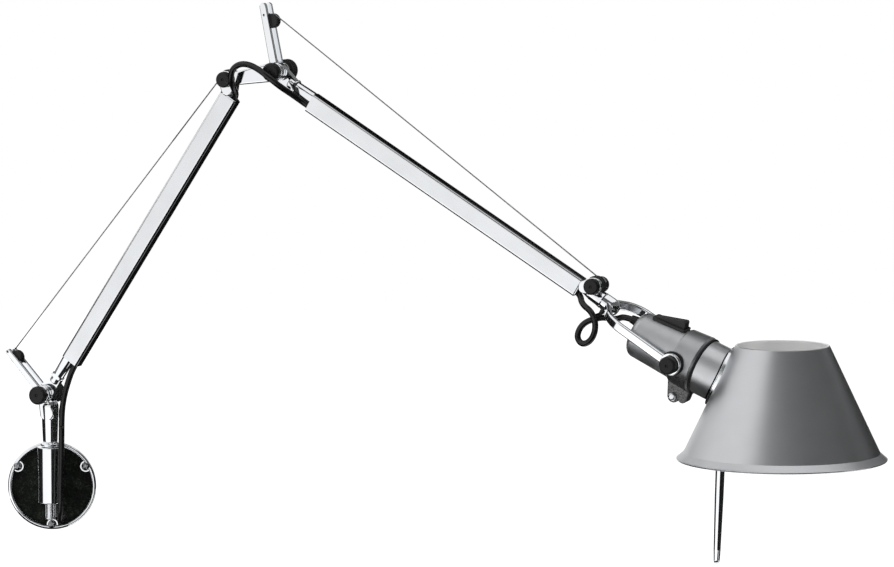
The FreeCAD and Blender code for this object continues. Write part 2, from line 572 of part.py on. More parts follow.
def tilt_hardware():
    """Studs, black washers and black caps of the two tilt pivots."""
    inner = PRONG_OFFSET - 2.3
    outer = PRONG_OFFSET + 2.3
    keep("tilt_pins", both_sides(disc(0, 0, PIN_R, 22.2, outer + 2.5)), HEAD)
    washer = softened(ring(0, 0, PIN_R, 10.6, 24.9, inner - 0.08), 0.4, inner - 0.08)
    keep("tilt_washers", both_sides(washer), HEAD)
    low = outer + 0.08
    cap = turned((low, PIN_R), (low, 7.0), (low + 1.0, 7.8), (low + 3.8, 7.8), ((low + 5.4, 7.1), (low + 6.0, 5.2)),
                 (low + 6.0, 1.5), (low + 5.2, 0.7), (low + 5.2, 0), (outer + 2.5, 0), (outer + 2.5, PIN_R))
    keep("tilt_caps", both_sides(stood(cap)), HEAD)


def switch():
    """Rocker with a slanted top and the frame that it rocks in."""
    side = outline((-38.2, 17.6), (-38.2, 22.2), (-5.8, 24.2), (-5.8, 17.6))
    side.translate(Vector(0, 0, -6.5))
    base = side.extrude(Vector(0, 0, 13))
    base = base.makeFillet(2.0, [e for e in base.Edges if e.BoundBox.XLength < 1e-6 and e.BoundBox.ZLength < 1e-6])
    base = base.cut([turned(*housing_outline(), (20, 22.6), (20, 0)),
                     Part.makeBox(29.6, 20, 10.2, Vector(-36.8, 15, -5.1))])
    keep("switch_frame", base, HEAD)
    rocker = outline((-36, 22.9), (-10.4, 30.4), (-8.8, 29.4), (-8.0, 24.6), (-8.6, 20.6),
                     ((-22, 17.0), (-35.6, 19.8)))
    rocker.translate(Vector(0, 0, -4.6))
    body = rocker.extrude(Vector(0, 0, 9.2))
    top = [e for e in body.Edges if e.BoundBox.ZLength < 1e-6 and e.BoundBox.XLength > 24 and e.BoundBox.YMin > 22]
    keep("rocker", body.makeFillet(0.8, top), HEAD)


def lampholder():
    """Screw socket in the housing and the lamp bulb in it."""
    body = turned((-30, 0), (-30, 16), (-26, 19.0), (24.5, 19.0), (24.5, 13.7), (1.6, 13.7), (1.6, 0))
    body = body.cut(Part.makeBox(30, 10, 10.4, Vector(-37, 14.6, -5.2)))
    keep("lampholder", body, HEAD)
    edge = [(1.6, 0), (1.6, 3.0), (4, 10.4)]
    for i in range(6):
        x = 4.6 + 3.4 * i
        edge += [(x, 12.4), (x + 0.6, 13.1), (x + 1.2, 13.1), (x + 1.8, 12.4)]
    edge += [(27.0, 12.4), (27.0, 0)]
    keep("bulb_base", turned(*edge).cut(rod_x(11.4, 5, 28)), HEAD)
    glass = turned((27, 0), (27, 12.4), (33, 13.2), ((44, 15.8), (52, 19.2)),
                   ((70, 21.0), (88.5, 9.0)), ((90.5, 5.2), (91.2, 1.2)), (91.2, 0))
    inside = turned((26, 0), (26, 11.4), (33, 12.2), ((44, 14.8), (52, 18.2)),
                    ((70, 20.0), (87.7, 8.4)), ((89.6, 4.8), (90.2, 1.0)), (90.2, 0))
    keep("bulb_glass", glass.cut(inside), HEAD)


def cone_at(z):
    slope = (SHADE_CONE_R - SHADE_TOP_R) / (SHADE_HEIGHT - SHADE_LIP)
    return SHADE_TOP_R + (SHADE_HEIGHT - z) * slope


def cone_solid(grow):
    """Solid cone under the shade's outer surface, grown outwards by a distance."""
    low, high = -12.0, SHADE_HEIGHT + 8
    step = grow / math.cos(math.atan2(SHADE_CONE_R - SHADE_TOP_R, SHADE_HEIGHT - SHADE_LIP))
    return Part.makeCone(cone_at(low) + step, cone_at(high) + step, high - low, Vector(0, 0, low), Z)


def shade():
    """Open cone of thin sheet with a flared lip and a rolled bead at its rim."""
    side = SHADE_WALL / math.cos(math.atan2(SHADE_CONE_R - SHADE_TOP_R, SHADE_HEIGHT - SHADE_LIP))
    lip_r = SHADE_RIM_R - 1.3
    sheet = turned(
        (SHADE_HEIGHT, SHADE_TOP_R), ((SHADE_HEIGHT + 0.6, SHADE_TOP_R - 0.9), (SHADE_HEIGHT, SHADE_TOP_R - 1.8)),
        (SHADE_HEIGHT - 1.5, cone_at(SHADE_HEIGHT - 1.5) - side),
        (SHADE_LIP, SHADE_CONE_R - side), (0.6, lip_r - SHADE_WALL),
        ((-0.4, lip_r + 0.3), (0.9, lip_r + 1.3)), (1.7, lip_r + 0.3), (SHADE_LIP, SHADE_CONE_R))
    hole = Part.makeCylinder(22.6, 60, HEAD.multVec(Vector(16, 0, 0)), HEAD.Rotation.multVec(X))
    sheet = stood(sheet)
    hole.Placement = SHADE.inverse() * hole.Placement
    keep("shade", sheet.cut(hole), SHADE)


def collar():
    """Collar round the lampholder, its flange outside the shade and its nut inside."""
    to_head = HEAD.inverse() * SHADE

    def cone(grow):
        solid = cone_solid(grow)
        solid.Placement = to_head * solid.Placement
        return solid

    front = 70.0
    tube = turned((19.9, 20.66), (19.9, 24.3), (front, 24.3), (front, 22.6), (28, 22.6), (28, 20.66))
    seal = turned((17.4, 20.6), (17.4, 25.0), ((18.5, 25.7), (19.6, 25.0)), (19.6, 20.6))
    keep("collar_seal", seal, HEAD)
    flange = turned((24, 24.0), (24, 28.0), (front, 28.0), (front, 24.0))
    keep("shade_collar", fused(tube.cut(cone(0.02)), flange.common(cone(2.2)).cut(cone(0.02))), HEAD)
    nut = turned((24, 22.65), (24, 26.4), (front, 26.4), (front, 22.65))
    nut = nut.cut(turned((0, 0), (0, 30), (24, 30), (24, 0)))
    nut = nut.common(cone(-SHADE_WALL - 0.04)).cut(cone(-SHADE_WALL - 4.2))
    boss_top = PLANE.inverse().multVec(HEAD.multVec(Vector(47.0, -24.5, 0)))
    boss = Part.makeCylinder(4.6, 10.5, Vector(boss_top.x, boss_top.y - 9, 0), Y)
    boss.Placement = HEAD.inverse() * PLANE * boss.Placement
    boss = boss.common(cone(-SHADE_WALL - 0.5))
    keep("collar_nut", fused(nut, boss), HEAD)
    # the hand grip hangs from the boss, leaning slightly back to the arm
    length = boss_top.y - 9 + 24.7
    grip = turned((0, 0), (0, 3.6), (1.2, 4.3), (0.55 * length, 3.9), (length - 12, 3.1),
                  (length - 3, 2.7), ((length - 1, 2.0), (length, 0.7)), (length, 0))
    keep("handle", grip, PLANE * at(boss_top.x, boss_top.y - 9.12, turn=-92.0))


# ---- cable --------------------------------------------------------------------------
def elbow_route():
    """The cable's way over the elbow, from one tube into the other, in the arm plane's frame."""
    low_y = -TUBE_DROP - CABLE_DROP

    def lower_point(x):
        return tuple((PLANE.inverse() * LOWER).multVec(Vector(x, low_y, 0)))

    def upper_point(x):
        return tuple((PLANE.inverse() * UPPER).multVec(Vector(x, low_y, 0)))

    lower_end = TUBE_START + LOWER_TUBE_LENGTH
    return [lower_point(lower_end - 4), lower_point(lower_end + 5), (192.9, 369.7, 10.5), (193.3, 379.7, 16.5),
            (195.6, 387.3, 17.0), (203.0, 391.9, 18.0), (213.2, 391.9, 20.0), (223.9, 387.9, 22.0),
            (233.6, 381.6, 22.8), (243.2, 373.2, 19.0), (250.4, 365.8, 9.5), upper_point(TUBE_START - 7),
            upper_point(TUBE_START + 4)]


def elbow_relief(frame):
    """Room for the cable in the castings beside it."""
    points = elbow_route()
    path, _ = cord_path(points)
    start, nearby = Vector(*points[0]), Vector(*points[1])
    section = Part.Wire(Part.makeCircle(CABLE_R + 0.35, start, nearby - start))
    relief = path.makePipeShell([section], True, False)
    relief.Placement = frame.inverse() * PLANE
    return relief


def cable():
    """The mains cable, one stretch to each span between the places that hold it."""
    high = Vector(11.3, -38.0, 58.0)
    above = (16.4, 71.5, 8.0)
    lead = tuple(high + (high - PLANE.multVec(Vector(*above))) * 1.8)
    cord("cable_stem", [(8.0, -0.3, -27.5), (8.0, -14.0, -27.5), (8.8, -30.0, -30.5), (10.0, -39.5, -21.0),
                        (10.2, -40.0, 4.0), lead, tuple(high)], CABLE_R, Placement())
    low_y = -TUBE_DROP - CABLE_DROP
    inv = PLANE.inverse()
    stem_high = tuple(inv.multVec(high))
    into_lower = tuple((inv * LOWER).multVec(Vector(TUBE_START + 4, low_y, 0)))
    before_lower = tuple((inv * LOWER).multVec(Vector(TUBE_START - 6.5, low_y, 0)))
    cord("cable_base", [stem_high, above, (18.1, 85.9, 6.5), (20.6, 97.8, 4.0), before_lower,
                        into_lower], CABLE_R, PLANE)
    for name, length, frame in (("cable_lower_arm", LOWER_TUBE_LENGTH, LOWER),
                                ("cable_upper_arm", UPPER_TUBE_LENGTH, UPPER)):
        keep(name, rod_x(CABLE_R, TUBE_START + 4, TUBE_START + length - 4, low_y), frame)
    def upper_point(x, y, f):
        return tuple((inv * UPPER).multVec(Vector(x, y, f)))

    def yoke_point(x, y, f):
        return tuple((inv * YOKE).multVec(Vector(x, y, f)))

    cord("cable_elbow", elbow_route(), CABLE_R, PLANE)
    end_x = TUBE_START + UPPER_TUBE_LENGTH
    from_upper = upper_point(end_x - 4, low_y, 0)
    under_hub = Vector(*yoke_point(7.5, -11.6, 2.0))
    loop_top = Vector(533.8, 180.3, 4.2)
    loop_end = tuple(loop_top + (under_hub - loop_top) * 0.72)
    loop = [from_upper, upper_point(end_x + 3.5, low_y, 0), upper_point(end_x + 11.5, -15.0, 7.0),
            (538.6, 188.2, 12.4), (542.6, 179.0, 12.6), (541.4, 169.0, 12.0), (535.6, 161.2, 10.6),
            (527.8, 159.0, 9.2), (522.6, 165.0, 7.6), (525.4, 174.4, 5.6), tuple(loop_top), loop_end]
    cord("cable_loop", loop, CABLE_R, PLANE)
    gland = tuple((inv * HEAD).multVec(Vector(-48, 9, 0)))
    gland_in = tuple((inv * HEAD).multVec(Vector(-64, 9, 0)))
    cord("cable_head", [loop_end, tuple(under_hub), yoke_point(17.5, -7.4, 1.5), gland_in, gland], CABLE_R, PLANE)


def build():
    wall_plate()
    swivel_housing()
    stem()
    base_fork()
    wire_cam("lower", BASE_LEVER_ANGLE, BASE_CAM, PLANE * at(*BASE_PIVOT))
    wire_cam("upper", ELBOW_LEVER_ANGLE, ELBOW_CAM, PLANE * elbow_point())
    for name, length, frame in (("lower", LOWER_TUBE_LENGTH, LOWER), ("upper", UPPER_TUBE_LENGTH, UPPER)):
        arm_tube(name, length, frame)
        arm_foot(name, frame)
        spring(name + "_spring", length, frame)
    elbow_fork()
    arm_end_fitting()
    wires()
    yoke()
    cable_clip()
    socket_housing()
    clamp_ring()
    tilt_hardware()
    switch()
    lampholder()
    shade()
    collar()
    cable()


def elbow_point():
    """The elbow pivot in the arm plane's frame."""
    point = PLANE.inverse().multVec(UPPER.Base)
    return at(point.x, point.y)


def wires():
    base_cam = at(*BASE_PIVOT).multVec(Vector(*polar(0, 0, *BASE_CAM[:2]), 0))
    elbow_cam = elbow_point().multVec(Vector(*polar(0, 0, *ELBOW_CAM[:2]), 0))
    wire("lower_wire", (base_cam.x, base_cam.y), BASE_CAM[2], BASE_LEVER_ANGLE, LOWER_TUBE_LENGTH, LOWER)
    wire("upper_wire", (elbow_cam.x, elbow_cam.y), ELBOW_CAM[2], ELBOW_LEVER_ANGLE, UPPER_TUBE_LENGTH, UPPER)


build()
os.makedirs("parts", exist_ok=True)
for node, shape in nodes.items():
    shape.exportStep("parts/" + node + ".step")
    print("%-22s solids %d valid %s volume %9.1f" % (node, len(shape.Solids), shape.isValid(), shape.Volume))
print(len(nodes), "nodes")
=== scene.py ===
import json
import math

import bpy
import bmesh
from mathutils import Matrix, Vector


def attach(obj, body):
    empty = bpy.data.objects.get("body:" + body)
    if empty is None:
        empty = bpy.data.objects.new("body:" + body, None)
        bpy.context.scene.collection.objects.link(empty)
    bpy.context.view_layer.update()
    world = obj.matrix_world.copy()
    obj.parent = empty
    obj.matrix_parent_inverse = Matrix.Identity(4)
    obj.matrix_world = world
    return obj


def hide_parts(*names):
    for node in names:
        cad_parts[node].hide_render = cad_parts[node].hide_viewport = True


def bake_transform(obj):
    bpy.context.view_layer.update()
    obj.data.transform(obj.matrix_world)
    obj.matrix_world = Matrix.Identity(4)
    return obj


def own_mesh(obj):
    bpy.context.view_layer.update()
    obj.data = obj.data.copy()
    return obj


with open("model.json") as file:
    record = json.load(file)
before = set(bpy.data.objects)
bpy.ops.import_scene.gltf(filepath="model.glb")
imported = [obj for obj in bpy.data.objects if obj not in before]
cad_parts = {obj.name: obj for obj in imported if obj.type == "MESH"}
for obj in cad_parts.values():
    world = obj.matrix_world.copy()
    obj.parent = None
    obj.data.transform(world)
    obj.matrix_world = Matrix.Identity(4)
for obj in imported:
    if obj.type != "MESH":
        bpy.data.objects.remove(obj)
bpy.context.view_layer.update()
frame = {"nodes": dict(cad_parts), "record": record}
NODES = frame["nodes"]
MM = 0.001


# ---- the CAD's own frames, in millimetres ------------------------------------------
def turn(angle, axis="Z"):
    return Matrix.Rotation(math.radians(angle), 4, axis)


def at(x, y, z=0.0, angle=0.0):
    return Matrix.Translation((x, y, z)) @ turn(angle)


def polar(x, y, length, angle):
    a = math.radians(angle)
    return x + length * math.cos(a), y + length * math.sin(a)


WORLD = Matrix.Identity(4)
STANDOFF, ARM_SWING = 24, 25
BASE_PIVOT = (-5.1, 86.0)
LOWER_ANGLE, UPPER_ANGLE = 56.4, -30.5
PLANE = at(0, -STANDOFF, 0, -ARM_SWING) @ turn(90, "X")
LOWER = PLANE @ at(*BASE_PIVOT, 0, LOWER_ANGLE)
UPPER = LOWER @ at(380.2, -31.9, 0, UPPER_ANGLE - LOWER_ANGLE)
TUBE_START, LOWER_TUBE, UPPER_TUBE = 42.0, 292.0, 298.0
PULLEY_X, PULLEY_Y, PULLEY_R = 12.6, 3.9, 7.0
YOKE = UPPER @ at(365.6, -3.6) @ turn(7, "X")
HEAD = YOKE @ at(88, 0, 0, 8)
SHADE_AXIS = HEAD @ Vector((97.2, 0, 0))
SHADE_MOUTH_Z, SHADE_MOUTH_R, SHADE_SLOPE = 69.1, 86.55, 0.4769
SHADE = Matrix.Translation((SHADE_AXIS.x, SHADE_AXIS.y, SHADE_MOUTH_Z)) @ turn(-ARM_SWING)


def place(base, *points):
    """Points of a CAD frame, in millimetres, as points of the scene, in metres."""
    return [(base @ Vector(p)) * MM for p in points]


def put(name, data):
    """A new object in the scene."""
    made = bpy.data.objects.new(name, data)
    bpy.context.scene.collection.objects.link(made)
    return made


# ---- camera ------------------------------------------------------------------------
camera = put("camera", bpy.data.cameras.new("camera"))
camera.location = (0.35883, -4.95526, 0.72224)
camera.rotation_euler = (math.radians(83.8), 0, 0)
camera.data.sensor_width = 36
camera.data.lens = 221.48
camera.data.clip_end = 60
bpy.context.scene.camera = camera
bpy.context.scene.view_settings.view_transform = "Standard"


# ---- materials ---------------------------------------------------------------------
class Finish:
    """A material under construction: a Principled shader and a few ways to drive it."""

    def __init__(self, name, metallic=0.0, **sockets):
        self.material = bpy.data.materials.new(name)
        self.material.use_nodes = True
        self.tree = self.material.node_tree
        self.tree.nodes.clear()
        self.shader = self.node("ShaderNodeBsdfPrincipled")
        self.shader.inputs["Metallic"].default_value = metallic
        for key, value in sockets.items():
            self.shader.inputs[key.replace("_", " ")].default_value = value
        out = self.node("ShaderNodeOutputMaterial")
        self.link(self.shader.outputs[0], out.inputs[0])
        self.where = self.node("ShaderNodeTexCoord").outputs["Object"]

    def node(self, kind, **values):
        made = self.tree.nodes.new(kind)
        for key, value in values.items():
            setattr(made, key, value)
        return made

    def link(self, a, b):
        self.tree.links.new(a, b)

    def local(self, base, stretch=(1, 1, 1)):
        """Coordinates in a CAD frame, in millimetres, squeezed along its axes."""
        spot, spin, _ = base.decompose()
        to_frame = self.node("ShaderNodeMapping", vector_type="TEXTURE")
        to_frame.inputs["Location"].default_value = spot * MM
        to_frame.inputs["Rotation"].default_value = spin.to_euler()
        self.link(self.where, to_frame.inputs["Vector"])
        size = self.node("ShaderNodeMapping", vector_type="POINT")
        size.inputs["Scale"].default_value = [1000 * s for s in stretch]
        self.link(to_frame.outputs[0], size.inputs["Vector"])
        return size.outputs[0]

    def axes(self, where):
        """The X, Y and Z of a place."""
        made = self.node("ShaderNodeSeparateXYZ")
        self.link(where, made.inputs[0])
        return made.outputs

    def noise(self, where, scale, detail=3.0, rough=0.55):
        made = self.node("ShaderNodeTexNoise")
        made.inputs["Scale"].default_value = scale
        made.inputs["Detail"].default_value = detail
        made.inputs["Roughness"].default_value = rough
        self.link(where, made.inputs["Vector"])
        return made.outputs["Fac"]

    def ramp(self, value, *stops):
        """Colours at the given places of a value from 0 to 1."""
        made = self.node("ShaderNodeValToRGB")
        bar = made.color_ramp
        while len(bar.elements) < len(stops):
            bar.elements.new(0.5)
        for element, (spot, colour) in zip(bar.elements, stops):
            element.position = spot
            element.color = (*colour, 1.0)
        self.link(value, made.inputs[0])
        return made.outputs[0]

    def spread(self, value, low, high, start=0.3, end=0.7):
        """A value's run from start to end, laid over low to high."""
        made = self.node("ShaderNodeMapRange")
        names = ("From Min", "From Max", "To Min", "To Max")
        for key, number in zip(names, (start, end, low, high)):
            made.inputs[key].default_value = number
        self.link(value, made.inputs["Value"])
        return made.outputs[0]

    def mix(self, factor, a, b):
        made = self.node("ShaderNodeMix", data_type="RGBA")
        self.link(factor, made.inputs["Factor"])
        self.link(a, made.inputs["A"])
        self.link(b, made.inputs["B"])
        return made.outputs["Result"]

    def maths(self, operation, *values):
        made = self.node("ShaderNodeMath", operation=operation)
        for i, value in enumerate(values):
            if isinstance(value, (int, float)):
                made.inputs[i].default_value = value
            else:
                self.link(value, made.inputs[i])
        return made.outputs[0]

    def plus(self, a, b):
        return self.maths("ADD", a, b)

    def minus(self, a, b):
        return self.maths("SUBTRACT", a, b)

    def times(self, a, b):
        return self.maths("MULTIPLY", a, b)

    def shares(self, a, b, share):
        """A share of one value and the rest of another."""
        return self.plus(self.times(a, share), self.times(b, 1.0 - share))

    def across(self, a, b):
        """The distance from an axis of a point with two offsets."""
        squares = self.plus(self.maths("POWER", a, 2.0), self.maths("POWER", b, 2.0))
        return self.maths("SQRT", squares)

    def below(self, value, limit):
        return self.maths("LESS_THAN", value, limit)

    def between(self, value, low, high):
        return self.times(self.maths("GREATER_THAN", value, low), self.below(value, high))

    def colour(self, socket):
        self.link(socket, self.shader.inputs["Base Color"])

    def gloss(self, socket):
        self.link(socket, self.shader.inputs["Roughness"])

    def bump(self, height, depth_mm):
        made = self.node("ShaderNodeBump")
        made.inputs["Strength"].default_value = 1.0
        made.inputs["Distance"].default_value = depth_mm * MM
        self.link(height, made.inputs["Height"])
        self.link(made.outputs[0], self.shader.inputs["Normal"])

    def edges(self, start=0.52, end=0.58):
        """Where the mesh is convex: 0 on faces, 1 on worn edges."""
        shape = self.node("ShaderNodeNewGeometry").outputs["Pointiness"]
        return self.spread(shape, 0.0, 1.0, start, end)


COOL = (0.975, 0.995, 1.02)


def grey(level, tint=(1.0, 1.0, 1.0)):
    return tuple(level * t for t in tint)


def steely(low, high):
    """Two stops of a ramp between cool greys."""
    return (0.3, grey(low, COOL)), (0.7, grey(high, COOL))


# the painted dark reflection on a bar's long edges fades in between these depths
PAINTED_EDGE_FROM, PAINTED_EDGE_TO = 1.2, 0.8  # the fade of a bar's long edge, millimetres inside its side


def metal(name, low, high, rough, base=WORLD, stretch=(1, 1, 1), scale=1.2, depth=0.004,
          haze=0.05, fine=0.4, sides=None):
    """Bare metal: slow colour drift, fine grain along the frame's X and handling haze.

    sides is the height of a bar's middle in the frame and half its width: its long edges get a painted
    dark reflection.
    """
    made = Finish(name, 1.0)
    grain = made.noise(made.local(base, stretch), scale, 4.0)
    drift = made.noise(made.local(base), 0.035, 2.0)
    tone = made.shares(grain, drift, fine)
    plain = made.ramp(tone, *steely(low, high))
    if sides:
        middle, half = sides
        # painted reflection: the bar's long edges are darkened in colour
        away = made.maths("ABSOLUTE", made.minus(made.axes(made.local(base))[1], middle))
        dark = made.ramp(tone, *steely(low * 0.08, high * 0.16))
        plain = made.mix(made.spread(away, 0.0, 1.0, half - PAINTED_EDGE_FROM, half - PAINTED_EDGE_TO), plain, dark)
    made.colour(plain)
    smears = made.noise(made.local(base), 0.12, 5.0, 0.7)
    made.gloss(made.plus(made.spread(grain, 0.0, rough * fine * 0.7),
                         made.spread(smears, rough * 0.8, rough + haze)))
    made.bump(grain, depth)
    return made.material


def plastic(name, low, high, rough, scale=2.4, depth=0.03, worn=0.1, coat=0.0, shine=0.5):
    """Moulded plastic: fine spark-eroded grain, a slow drift and rubbed edges."""
    made = Finish(name, 0.0, Coat_Weight=coat, Coat_Roughness=0.2, Specular_IOR_Level=shine)
    where = made.local(WORLD)
    grain = made.noise(where, scale, 3.0)
    drift = made.noise(where, 0.08, 3.0)
    body = made.ramp(drift, (0.35, grey(low)), (0.65, grey(high)))
    rubbed = made.ramp(grain, (0.3, grey(high + worn * 0.6)), (0.7, grey(high + worn)))
    made.colour(made.mix(made.times(made.edges(), grain), body, rubbed))
    made.gloss(made.plus(made.spread(grain, -0.05, 0.05),
                         made.spread(drift, rough - 0.04, rough + 0.06)))
    made.bump(grain, depth)
    return made.material


PLATE_FLOOR_R = 36.45
PLATE_FLOOR_Y = (-3.62, -3.3)


def plate_finish():
    """Polished rim and bosses round a recessed floor with a coarse dark texture."""
    made = Finish("plate_metal", 1.0)
    where = made.local(WORLD)
    x, y, z = made.axes(where)
    grain = made.noise(where, 0.8, 5.0, 0.7)
    clouds = made.noise(where, 0.13, 4.0, 0.6)
    inside = made.below(made.across(x, z), PLATE_FLOOR_R)
    floor = made.times(inside, made.between(y, *PLATE_FLOOR_Y))
    dark = made.ramp(made.shares(grain, clouds, 0.6), (0.40, (0.001, 0.001, 0.001)),
                     (0.54, (0.008, 0.011, 0.008)), (0.68, (0.060, 0.072, 0.056)))
    bright = made.ramp(clouds, *steely(0.80, 0.88))
    made.colour(made.mix(floor, bright, dark))
    made.link(made.minus(1.0, floor), made.shader.inputs["Metallic"])
    dull = made.minus(0.5, made.times(floor, 0.38))
    made.link(dull, made.shader.inputs["Specular IOR Level"])
    made.gloss(made.plus(made.spread(clouds, 0.07, 0.13), made.times(floor, 0.5)))
    made.bump(made.times(made.plus(floor, 0.02), grain), 0.25)
    return made.material


PALE_INSIDE_GAP = -0.65               # inside this distance from the shade's cone, in millimetres
# the flange reaches this far from the shade's cone, and the painted shadow line of its gap reaches
# beyond it, in millimetres
FLANGE_GAP, PAINTED_SHADOW_GAP = 2.75, 4.1


def off_the_cone(made):
    """How far a point lies outside the shade's cone, in millimetres across its axis."""
    x, y, z = made.axes(made.local(SHADE))
    cone = made.minus(SHADE_MOUTH_R, made.times(z, SHADE_SLOPE))
    return made.minus(made.across(x, y), cone)


def shade_finish():
    """Satin spun sheet outside; the inside of the cone is paler, matt and less metallic."""
    made = Finish("shade_metal", 1.0)
    spun = made.noise(made.local(SHADE, (0.15, 0.15, 3.0)), 1.2, 3.0)
    drift = made.noise(made.local(SHADE), 0.03, 2.0)
    inside = made.below(off_the_cone(made), PALE_INSIDE_GAP)
    satin = made.ramp(made.shares(spun, drift, 0.3), *steely(0.61, 0.66))
    # the inside of the cone: paler, less metallic and rougher
    coat = made.ramp(drift, (0.3, grey(0.80)), (0.7, grey(0.86)))
    made.colour(made.mix(inside, satin, coat))
    made.link(made.minus(1.0, made.times(inside, 0.8)), made.shader.inputs["Metallic"])
    made.gloss(made.plus(made.spread(spun, 0.36, 0.40), made.times(inside, 0.12)))
    made.bump(spun, 0.003)
    return made.material


def collar_finish():
    """Satin tube with a bright flange, and a painted shadow line in the gap where the flange meets the
    shade.
    """
    made = Finish("collar_metal", 1.0)
    where = made.local(HEAD)
    grain = made.noise(where, 2.5, 4.0)
    drift = made.noise(where, 0.04, 2.0)
    gap = off_the_cone(made)
    flange = made.below(gap, FLANGE_GAP)
    # painted shadow: a black line where the gap between the flange and the shade lies in shade
    joint = made.between(gap, FLANGE_GAP, PAINTED_SHADOW_GAP)
    satin = made.ramp(drift, *steely(0.58, 0.66))
    bright = made.ramp(drift, *steely(0.86, 0.92))
    painted_shadow_black = made.ramp(grain, (0.3, grey(0.004)), (0.7, grey(0.015)))
    made.colour(made.mix(joint, made.mix(flange, satin, bright), painted_shadow_black))
    made.gloss(made.minus(made.spread(grain, 0.32, 0.38), made.times(flange, 0.16)))
    made.bump(grain, 0.012)
    return made.material


def clamp_finish():
    """Cast grey ring, smooth on top and coarse down at its ears, with painted shade darkening it towards
    the ears.
    """
    made = Finish("clamp_metal", 1.0)
    where = made.local(HEAD)
    grain = made.noise(where, 0.9, 5.0, 0.7)
    drift = made.noise(where, 0.06, 3.0)
    # painted shade: the colour runs darker lower down towards the ears, along with a coarser grain and a
    # rougher finish there
    rough = made.spread(made.plus(made.times(made.axes(where)[1], -0.04), 0.36), 0.0, 1.0)
    smooth = made.ramp(drift, *steely(0.40, 0.48))
    # the ears' colour, darkened with painted shade
    coarse = made.ramp(grain, (0.35, grey(0.02)), (0.65, grey(0.30)))
    made.colour(made.mix(rough, smooth, coarse))
    made.gloss(made.plus(made.spread(grain, 0.34, 0.44), made.times(rough, 0.06)))
    made.bump(made.times(grain, made.plus(rough, 0.1)), 0.2)
    return made.material


def wire_finish(name, base):
    """Stranded steel wire: short slanted bands along its run."""
    made = Finish(name, 1.0)
    where = made.local(base)
    lay = made.node("ShaderNodeTexWave", wave_type="BANDS", bands_direction="DIAGONAL")
    lay.inputs["Scale"].default_value = 0.9
    lay.inputs["Distortion"].default_value = 0.4
    made.link(where, lay.inputs["Vector"])
    strands = lay.outputs["Fac"]
    dirt = made.noise(where, 0.25, 3.0)
    bands = made.ramp(strands, (0.0, grey(0.10)), (0.55, grey(0.42, COOL)), (1.0, grey(0.62, COOL)))
    soot = made.ramp(dirt, (0.4, grey(0.22)), (0.6, grey(0.45, COOL)))
    made.colour(made.mix(made.spread(dirt, 0.1, 0.5), bands, soot))
    made.gloss(made.spread(strands, 0.42, 0.25, 0.0, 1.0))
    made.bump(strands, 0.12)
    return made.material


def glass_finish():
    """Frosted bulb: translucent white with a faint mottle inside."""
    made = Finish("lamp_glass", 0.0, Transmission_Weight=0.35, IOR=1.45)
    where = made.local(WORLD)
    frost = made.noise(where, 0.4, 3.0)
    fine = made.noise(where, 3.0, 2.0)
    made.colour(made.ramp(frost, (0.3, (0.86, 0.86, 0.84)), (0.7, (0.93, 0.93, 0.91))))
    made.gloss(made.spread(fine, 0.32, 0.45))
    made.bump(fine, 0.01)
    return made.material


def tube_finish(name, low, high, base):
    """Satin extrusion, its grain along the tube, with a painted dark reflection along its long edges."""
    return metal(name, low, high, 0.15, base, (0.02, 1.0, 1.0), scale=0.8, depth=0.0006,
                 haze=0.04, fine=0.25, sides=(-5.45, 8.75))


FINISHES = {
    "polished_metal": metal("polished_metal", 0.84, 0.90, 0.045, scale=0.9, depth=0.0015, haze=0.035),
    "housing_metal": metal("housing_metal", 0.52, 0.58, 0.42, HEAD, scale=2.5, depth=0.015,
                           haze=0.06, fine=0.3),
    "clamp_metal": clamp_finish(),
    "shade_metal": shade_finish(),
    "plate_metal": plate_finish(),
    "steel": metal("steel", 0.55, 0.70, 0.2, scale=1.5, depth=0.01, haze=0.1),
    "black_plastic": plastic("black_plastic", 0.004, 0.010, 0.40, worn=0.03, shine=0.3),
    "grey_plastic": plastic("grey_plastic", 0.34, 0.46, 0.4, scale=2.0, depth=0.05, worn=0.2),
    "cable_sheath": plastic("cable_sheath", 0.002, 0.006, 0.26, scale=1.4, depth=0.02, worn=0.0,
                            shine=0.4),
    "socket_ceramic": plastic("socket_ceramic", 0.70, 0.76, 0.28, scale=0.7, depth=0.01, worn=0.05,
                              coat=0.5),
    "lamp_brass": metal("lamp_brass", 0.58, 0.70, 0.2, HEAD, (4, 1, 1), scale=1.4, depth=0.01,
                        haze=0.1),
    "lamp_glass": glass_finish(),
}
OWN = {
    "lower_arm_tube": tube_finish("lower_satin", 0.72, 0.79, LOWER),
    "upper_arm_tube": tube_finish("upper_satin", 0.74, 0.81, UPPER),
    "spigot_nut": metal("nut_steel", 0.66, 0.84, 0.2, WORLD, (1, 1, 0.2), depth=0.03, haze=0.12),
    "shade_collar": collar_finish(),
}
SCREW_STEEL = metal("screw_steel", 0.14, 0.42, 0.16, scale=1.6, depth=0.01, haze=0.1)

slot_of = {part["node"]: part["material_slot"] for part in frame["record"]["subparts"]}
for name, item in NODES.items():
    finish = OWN.get(name) or FINISHES[slot_of[name]]
    if not item.data.materials:
        item.data.materials.append(finish)
    for index in range(len(item.data.materials)):
        item.data.materials[index] = finish


# ---- mesh helpers ------------------------------------------------------------------
def mesh_of(name, shape):
    """The mesh of a bmesh, which ends here."""
    mesh = bpy.data.meshes.new(name)
    shape.to_mesh(mesh)
    shape.free()
    return mesh


def new_object(name, mesh, finish):
    made = put(name, mesh)
    mesh.materials.clear()
    mesh.materials.append(finish)
    for face in mesh.polygons:
        face.use_smooth = True
    return made


